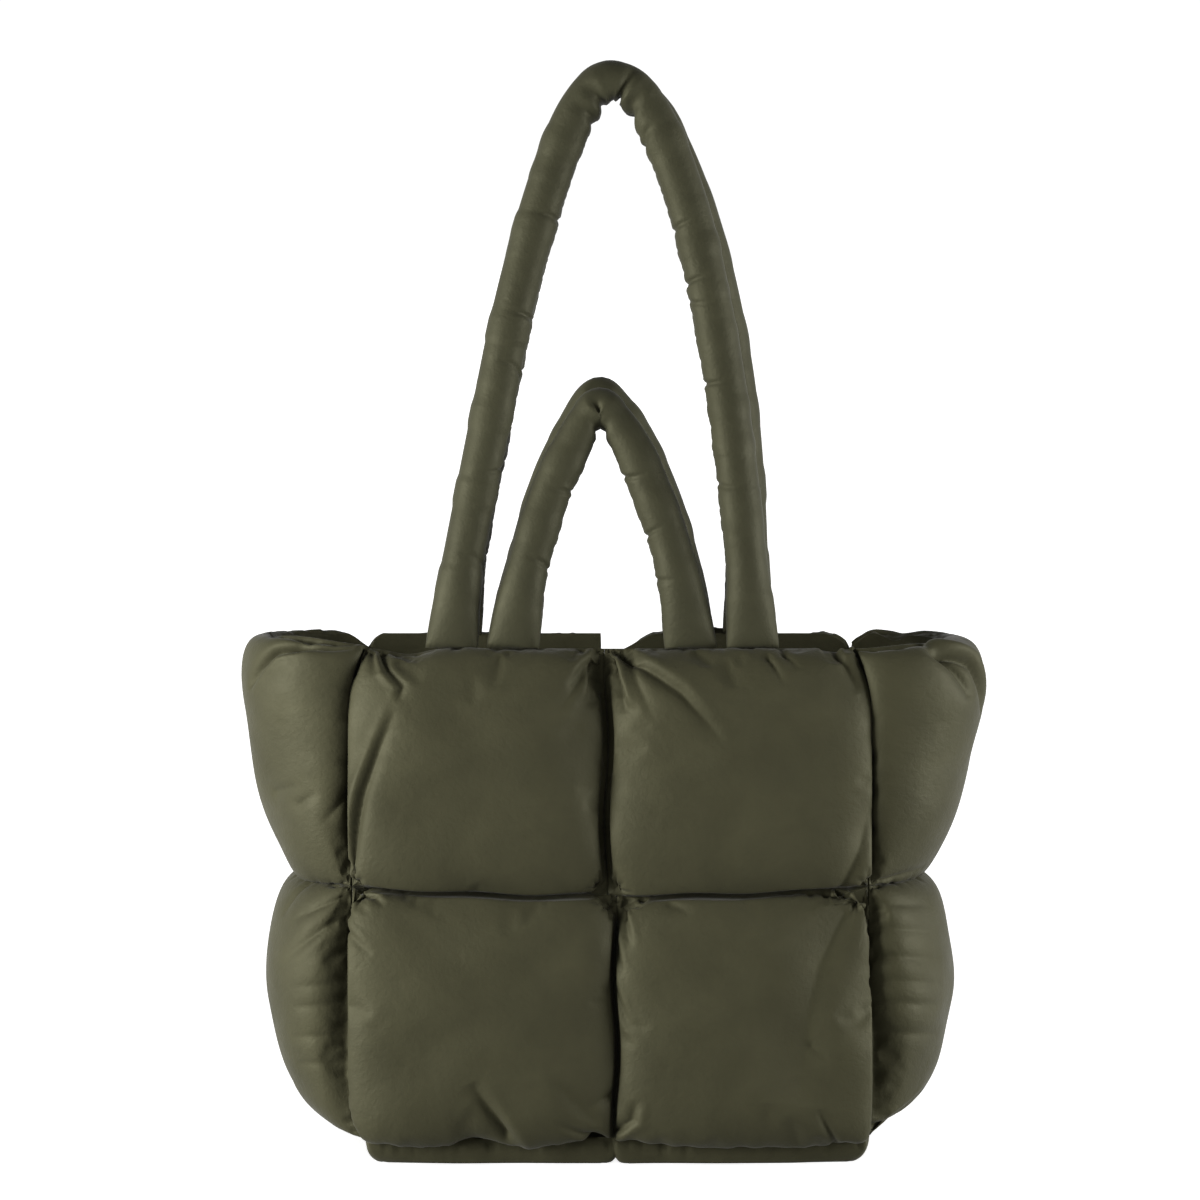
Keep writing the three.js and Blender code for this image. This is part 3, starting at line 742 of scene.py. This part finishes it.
def new_piece(name, points, faces, uvs, node, material):
    mesh = bpy.data.meshes.new(name)
    mesh.from_pydata(points.tolist(), [], faces)
    layer = mesh.uv_layers.new(name="cloth")
    corners = np.empty(len(mesh.loops), np.int32)
    mesh.loops.foreach_get("vertex_index", corners)
    layer.data.foreach_set("uv", uvs[corners].astype(np.float32).ravel())
    mesh.shade_smooth()
    piece = bpy.data.objects.new(name, mesh)
    SCENE.collection.objects.link(piece)
    BAG.objects.link(piece)
    mesh.materials.append(material)
    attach(piece, BODY)
    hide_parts(node)


def twice_as_fine(grid):
    """The grid with a point added between each pair, on a smooth curve through their neighbours."""
    for axis in (0, 1):
        points = np.moveaxis(grid, axis, 0)
        first = 2 * points[:1] - points[1:2]
        last = 2 * points[-1:] - points[-2:-1]
        padded = np.concatenate([first, points, last])
        between = (9 * (padded[1:-2] + padded[2:-1]) - padded[:-3] - padded[3:]) / 16
        fine = np.empty((2 * len(points) - 1, *points.shape[1:]))
        fine[0::2] = points
        fine[1::2] = between
        grid = np.moveaxis(fine, 0, axis)
    return grid


def grid_normals(points):
    normal = np.cross(np.gradient(points, axis=1), np.gradient(points, axis=0))
    return normal / np.linalg.norm(normal, axis=-1, keepdims=True)


def uneven_wave(run, length, rng):
    """A wave along a run that comes and goes unevenly, between 0 and 1."""
    stretches = rng.uniform(UNEVEN["shortest"], UNEVEN["longest"], UNEVEN["waves"])
    starts = rng.uniform(0, UNEVEN["start"], UNEVEN["waves"])
    wave = sum(np.sin(2 * math.pi * run / (length * stretch) + start)
               for stretch, start in zip(stretches, starts))
    return np.clip(wave / UNEVEN["crest"], 0, 1)


def soft_dents(across_run, up_run, rng):
    """Gentle unevenness over a square, from waves that cross it in all directions."""
    total = np.zeros_like(up_run)
    for _ in range(DENTS["waves"]):
        least = (0, 0, DENTS["shortest"])
        most = (math.pi, 2 * math.pi, DENTS["longest"])
        turn, start, stretch = rng.uniform(least, most)
        run = across_run * math.cos(turn) + up_run * math.sin(turn)
        total += np.sin(2 * math.pi * run / (DENTS["length"] * stretch) + start)
    return DENTS["depth"] * total / math.sqrt(DENTS["waves"])


def pressed_in(square, grid, divisions, rng):
    """How far the finished cloth is pressed in by its folds, its seams' small gathers and its soft dents."""
    across, up = (twice_as_fine(grid[key][..., None])[..., 0] for key in ("across", "up"))
    depth = np.zeros_like(up)
    for fold in square.folds:
        depth += fold_depth(fold, across, up, grid["half_size"])
    width, height = grid["size"]
    run = np.linspace(0, 1, divisions + 1)
    up_run, across_run = np.meshgrid(run * height, run * width, indexing="ij")
    edges = (
        (across_run, up_run),
        (across_run, height - up_run),
        (up_run, across_run),
        (up_run, width - across_run),
    )
    for along, away in edges:
        gathers = GATHER["depth"] * uneven_wave(along, GATHER["length"], rng)
        depth += gathers * np.exp(-(away / GATHER["reach"]) ** 2)
    depth += soft_dents(across_run, up_run, rng)
    from_seam = np.minimum.reduce([away for _, away in edges])
    return depth * np.clip(from_seam / SEAM_HOLD, 0, 1)


def flat_places(size, divisions):
    run = np.linspace(-0.5, 0.5, divisions + 1)
    up, across = np.meshgrid(run * size[1], run * size[0], indexing="ij")
    return np.stack([across, up], axis=-1).reshape(-1, 2)


def make_square(square, grid, swollen, material, seed):
    fine = 2 * SQUARE_DIVISIONS
    outer = twice_as_fine(swollen)
    depth = pressed_in(square, grid, fine, np.random.default_rng(PRESS_SEED + seed))
    outer = square.limit(outer - grid_normals(outer) * depth[..., None])
    sink = LINING_SWELL * (1 - grid["across"] ** 2) * (1 - grid["up"] ** 2)
    lining = grid["seam"] - grid["normal"] * sink[..., None]
    lining[..., 2] = np.maximum(lining[..., 2], 0.0)
    size = (fine + 1) ** 2
    outer_edge = grid_edge(fine)
    lining_edge = grid_edge(SQUARE_DIVISIONS) + size
    rim = np.stack([lining_edge, np.roll(lining_edge, -1), np.roll(outer_edge, -2)[::2], outer_edge[1::2],
                    outer_edge[::2]], axis=-1)
    front = grid_faces(fine, fine)
    back = grid_faces(SQUARE_DIVISIONS, SQUARE_DIVISIONS, size)[:, ::-1]
    points = np.concatenate([outer.reshape(-1, 3), lining.reshape(-1, 3)])
    uvs = np.concatenate([flat_places(grid["size"], fine), flat_places(grid["size"], SQUARE_DIVISIONS)])
    faces = front.tolist() + back.tolist() + rim.tolist()
    new_piece(f"{square.name}_pad", points, faces, uvs, square.name, material)


def strap_points(strap):
    crown = strap.crown
    lift = 1 + strap.rise
    top = STRAP_FOOT_Z + (crown["z"] - STRAP_FOOT_Z) * lift

    def raised(z):
        return STRAP_FOOT_Z + (z - STRAP_FOOT_Z) * lift

    def bowed(z):
        return strap.bow * math.sin(math.pi * (raised(z) - STRAP_FOOT_Z) / (top - STRAP_FOOT_Z))

    left = [(x, out, raised(z)) for z, x, _, out in strap.route]
    right = [(x + bowed(z), out, raised(z)) for z, _, x, out in strap.route]
    places = left + [(crown["x"], crown["out"], top)] + right[::-1]
    return np.array([(x, strap.facing * out, z) for x, out, z in places])


def smooth_path(points, step):
    """A centripetal curve through the points, evenly stepped, with the run along it."""
    ghost = np.concatenate([[2 * points[0] - points[1]], points, [2 * points[-1] - points[-2]]])
    fine = []
    for p0, p1, p2, p3 in zip(ghost, ghost[1:], ghost[2:], ghost[3:]):
        gaps = [math.sqrt(np.linalg.norm(b - a)) for a, b in ((p0, p1), (p1, p2), (p2, p3))]
        knots = np.concatenate([[0], np.cumsum(gaps)])
        t = np.linspace(knots[1], knots[2], PATH_SAMPLES, endpoint=False)[:, None]

        def mix(a, b, i, j):
            return ((knots[j] - t) * a + (t - knots[i]) * b) / (knots[j] - knots[i])

        a1, a2, a3 = mix(p0, p1, 0, 1), mix(p1, p2, 1, 2), mix(p2, p3, 2, 3)
        fine.append(mix(mix(a1, a2, 0, 2), mix(a2, a3, 1, 3), 1, 2))
    fine = np.concatenate(fine + [points[-1:]])
    run = np.concatenate([[0], np.cumsum(np.linalg.norm(np.diff(fine, axis=0), axis=1))])
    places = np.linspace(0, run[-1], int(round(run[-1] / step)) + 1)
    return np.stack([np.interp(places, run, fine[:, i]) for i in range(3)], axis=-1), places


def strap_ways(path):
    """The directions sideways and in depth at each ring of a strap."""
    forward = np.gradient(path, axis=0)
    forward[0] = (0, 0, 1)
    forward[-1] = (0, 0, -1)
    forward /= np.linalg.norm(forward, axis=1, keepdims=True)
    depth_way = np.array([0.0, 1.0, 0.0]) - forward * forward[:, 1:2]
    depth_way /= np.linalg.norm(depth_way, axis=1, keepdims=True)
    return np.cross(depth_way, forward), depth_way


def strap_dents(strap, run, angle, rng):
    """How far each point of a strap is pressed in by its creases and by the puckers of its inner seam."""
    from_inside = np.abs((angle + math.pi) % (2 * math.pi) - math.pi)
    dent = np.zeros((len(run), len(angle)))
    for crease in strap.creases:
        place = crease.at * run[-1] + crease.slant * np.abs(np.sin(angle))
        u = (run[:, None] - place) / crease.width
        near = np.clip(1 - from_inside / crease.reach, 0, 1)
        valley = (1 - 0.5 * u ** 2) * np.exp(-(u ** 2) / 2)
        dent += STRAP_CREASING * crease.depth * valley * near * (2 - near)
    inside = np.clip(1 - from_inside / CROWN_FLATTENING["round"], 0, 1)
    crown = np.exp(-((run - run[-1] / 2) / CROWN_FLATTENING["reach"]) ** 2)
    dent += CROWN_FLATTENING["depth"] * crown[:, None] * inside * (2 - inside)
    seam = np.clip(1 - from_inside / STRAP_PUCKER["round"], 0, 1) ** 2
    puckers = STRAP_PUCKER["depth"] * uneven_wave(run, STRAP_PUCKER["length"], rng)
    return dent + puckers[:, None] * seam


def make_strap(strap, material, seed):
    path, run = smooth_path(strap_points(strap), STRAP_STEP)
    side_way, depth_way = strap_ways(path)
    rng = np.random.default_rng(STRAP_SEED + seed)
    share = np.clip(np.minimum(run, run[-1] - run) / STRAP["foot_length"], 0, 1)
    width_share = share * share * (3 - 2 * share)
    depth_share = np.sqrt(1 - (1 - share) ** 2)
    pinch = STRAP["radius"] * strap.pinch * np.exp(-((run - run[-1] / 2) / STRAP["pinch_reach"]) ** 2)
    wobble = 2 * uneven_wave(run, STRAP_WOBBLE["length"], rng) - 1
    swell = STRAP_WOBBLE["depth"] * wobble * share - pinch
    tube_width = STRAP["foot_half_width"] + (STRAP["radius"] - STRAP["foot_half_width"]) * width_share + swell
    tube_depth = STRAP["foot_half_depth"] + (STRAP["radius"] - STRAP["foot_half_depth"]) * depth_share + swell
    angle = np.arange(STRAP_SIDES) * 2 * math.pi / STRAP_SIDES
    shrink = 1 - strap_dents(strap, run, angle, rng) * share[:, None] / STRAP["radius"]
    side = tube_width[:, None] * np.cos(angle) * shrink
    depth = tube_depth[:, None] * np.sin(angle) * shrink
    points = (path[:, None, :] + side_way[:, None, :] * side[..., None]
              + depth_way[:, None, :] * depth[..., None])
    rings = len(path)
    ring = np.arange(rings - 1)[:, None] * STRAP_SIDES
    here = np.arange(STRAP_SIDES)[None, :]
    there = (here + 1) % STRAP_SIDES
    next_ring = ring + STRAP_SIDES
    quads = np.stack([ring + here, ring + there, next_ring + there, next_ring + here], axis=-1)
    last_ring = (rings - 1) * STRAP_SIDES
    ends = [list(range(STRAP_SIDES))[::-1], list(range(last_ring, last_ring + STRAP_SIDES))]
    faces = quads.reshape(-1, 4).tolist() + ends
    around = np.broadcast_to(angle * STRAP["radius"], (rings, STRAP_SIDES))
    along = np.broadcast_to(run[:, None], (rings, STRAP_SIDES))
    uvs = np.stack([around, along], axis=-1).reshape(-1, 2)
    new_piece(f"{strap.node}_tube", points.reshape(-1, 3), faces, uvs, strap.node, material)


# Materials: node textures, with places along the cloth in metres

class Nodes:
    """Adds and links the nodes of one material."""

    def __init__(self, name):
        self.material = bpy.data.materials.new(name)
        self.material.use_nodes = True
        self.tree = self.material.node_tree
        self.shader = self.tree.nodes["Principled BSDF"]

    def add(self, kind, settings=None, inputs=None):
        node = self.tree.nodes.new(kind)
        for key, value in (settings or {}).items():
            setattr(node, key, value)
        for key, value in (inputs or {}).items():
            if isinstance(value, bpy.types.NodeSocket):
                self.tree.links.new(value, node.inputs[key])
            else:
                node.inputs[key].default_value = value
        return node

    def noise(self, place, scale, detail, distortion=0.0, roughness=0.5):
        inputs = {"Vector": place, "Scale": scale, "Detail": detail, "Distortion": distortion,
                  "Roughness": roughness}
        return self.add("ShaderNodeTexNoise", inputs=inputs).outputs["Fac"]

    def ramp(self, factor, stops):
        node = self.add("ShaderNodeValToRGB", inputs={"Fac": factor})
        for element, (place, colour) in zip(node.color_ramp.elements, stops):
            element.position = place
            element.color = (*colour, 1)
        return node.outputs["Color"]

    def spread(self, factor, low, high):
        least, most = NOISE_RANGE
        inputs = {"Value": factor, "From Min": least, "From Max": most, "To Min": low, "To Max": high}
        return self.add("ShaderNodeMapRange", inputs=inputs).outputs["Result"]

    def bump(self, height, strength, distance, normal=None):
        inputs = {"Height": height, "Strength": strength, "Distance": distance}
        if normal:
            inputs["Normal"] = normal
        return self.add("ShaderNodeBump", inputs=inputs).outputs["Normal"]

    def link(self, socket, name):
        self.tree.links.new(socket, self.shader.inputs[name])


def nylon(name, colour):
    """Plain-woven satin nylon: cloudy colour, uneven gloss, fine crinkles and a half-millimetre weave."""
    nodes = Nodes(name)
    place = nodes.add("ShaderNodeUVMap", {"uv_map": "cloth"}).outputs["UV"]
    tones = [(stop, [tone * c for c in colour]) for stop, tone in CLOUD_TONES]
    nodes.link(nodes.ramp(nodes.noise(place, **CLOUDS), tones), "Base Color")
    nodes.link(nodes.spread(nodes.noise(place, **GLOSS), *GLOSS_ROUGHNESS), "Roughness")
    threads = [nodes.add("ShaderNodeTexWave", {"bands_direction": way}, {"Vector": place, **THREADS})
               for way in ("X", "Y")]
    crossed = {index: thread.outputs["Fac"] for index, thread in enumerate(threads)}
    weave = nodes.add("ShaderNodeMath", {"operation": "MULTIPLY"}, crossed).outputs["Value"]
    crinkle = nodes.bump(nodes.noise(place, **CRINKLES), **CRINKLE_BUMP)
    fine = nodes.bump(nodes.noise(place, **FINE_CRINKLES), **FINE_BUMP, normal=crinkle)
    nodes.link(nodes.bump(weave, **WEAVE_BUMP, normal=fine), "Normal")
    for socket, value in SHINE.items():
        nodes.shader.inputs[socket].default_value = value
    return nodes.material


def pale_floor():
    nodes = Nodes("pale_floor")
    place = nodes.add("ShaderNodeTexCoord").outputs["Object"]
    tones = [(stop, (tone, tone, tone)) for stop, tone in FLOOR_TONES]
    nodes.link(nodes.ramp(nodes.noise(place, **FLOOR_CLOUDS), tones), "Base Color")
    nodes.link(nodes.spread(nodes.noise(place, **FLOOR_GRAIN), *FLOOR_ROUGHNESS), "Roughness")
    nodes.shader.inputs["Emission Color"].default_value = WHITE
    nodes.shader.inputs["Emission Strength"].default_value = FLOOR_GLOW
    return nodes.material


# Studio

def make_camera():
    data = bpy.data.cameras.new("camera")
    data.sensor_width = SENSOR
    data.lens = CAMERA_FOCAL_PIXELS / PHOTO_PIXELS * SENSOR
    data.clip_end = CAMERA_CLIP
    camera = bpy.data.objects.new("camera", data)
    camera.location = CAMERA_PLACE
    camera.rotation_euler = (math.pi / 2 - CAMERA_PITCH, 0, 0)
    SCENE.collection.objects.link(camera)
    SCENE.camera = camera


def add_softbox(name, place, watts):
    """A softbox that lights the bag alone, so that the floor stays even."""
    data = bpy.data.lights.new(name, "AREA")
    data.shape = "RECTANGLE"
    data.size = SOFTBOX["width"]
    data.size_y = SOFTBOX["height"]
    data.energy = watts
    light = bpy.data.objects.new(name, data)
    light.location = place
    way = Vector(SOFTBOX["target"]) - Vector(place)
    light.rotation_euler = way.to_track_quat("-Z", "Y").to_euler()
    light.light_linking.receiver_collection = BAG
    SCENE.collection.objects.link(light)


def studio_world():
    """Even white light from all round, which fades upwards."""
    world = bpy.data.worlds.new("studio")
    world.use_nodes = True
    tree = world.node_tree
    way = tree.nodes.new("ShaderNodeTexCoord").outputs["Generated"]
    split = tree.nodes.new("ShaderNodeSeparateXYZ")
    tree.links.new(way, split.inputs["Vector"])
    fade = tree.nodes.new("ShaderNodeMapRange")
    fade.interpolation_type = "SMOOTHSTEP"
    tree.links.new(split.outputs["Z"], fade.inputs["Value"])
    for key, value in WORLD_FADE.items():
        fade.inputs[key].default_value = value
    tree.links.new(fade.outputs["Result"], tree.nodes["Background"].inputs["Strength"])
    tree.nodes["Background"].inputs["Color"].default_value = WHITE
    return world


def make_studio():
    for box in SOFTBOXES:
        add_softbox(**box)
    SCENE.world = studio_world()
    SCENE.view_settings.view_transform = "Standard"
    mesh = bpy.data.meshes.new("floor")
    corners = [(FLOOR_REACH * x, FLOOR_REACH * y, 0) for x, y in ((-1, -1), (1, -1), (1, 1), (-1, 1))]
    mesh.from_pydata(corners, [], [(0, 1, 2, 3)])
    floor = bpy.data.objects.new("floor", mesh)
    SCENE.collection.objects.link(floor)
    mesh.materials.append(pale_floor())


def main():
    make_camera()
    make_studio()
    shell = nylon("shell_nylon_cloth", SHELL_COLOUR)
    strap_cloth = nylon("strap_nylon_cloth", STRAP_COLOUR)
    squares = bag_squares()
    grids = [cut_square(square, seed) for seed, square in enumerate(squares)]
    swollen = swell_squares(squares, grids)
    for seed, (square, grid) in enumerate(zip(squares, grids)):
        make_square(square, grid, swollen[square.name], shell, seed)
    for seed, strap in enumerate(STRAPS):
        make_strap(strap, strap_cloth, seed)


main()
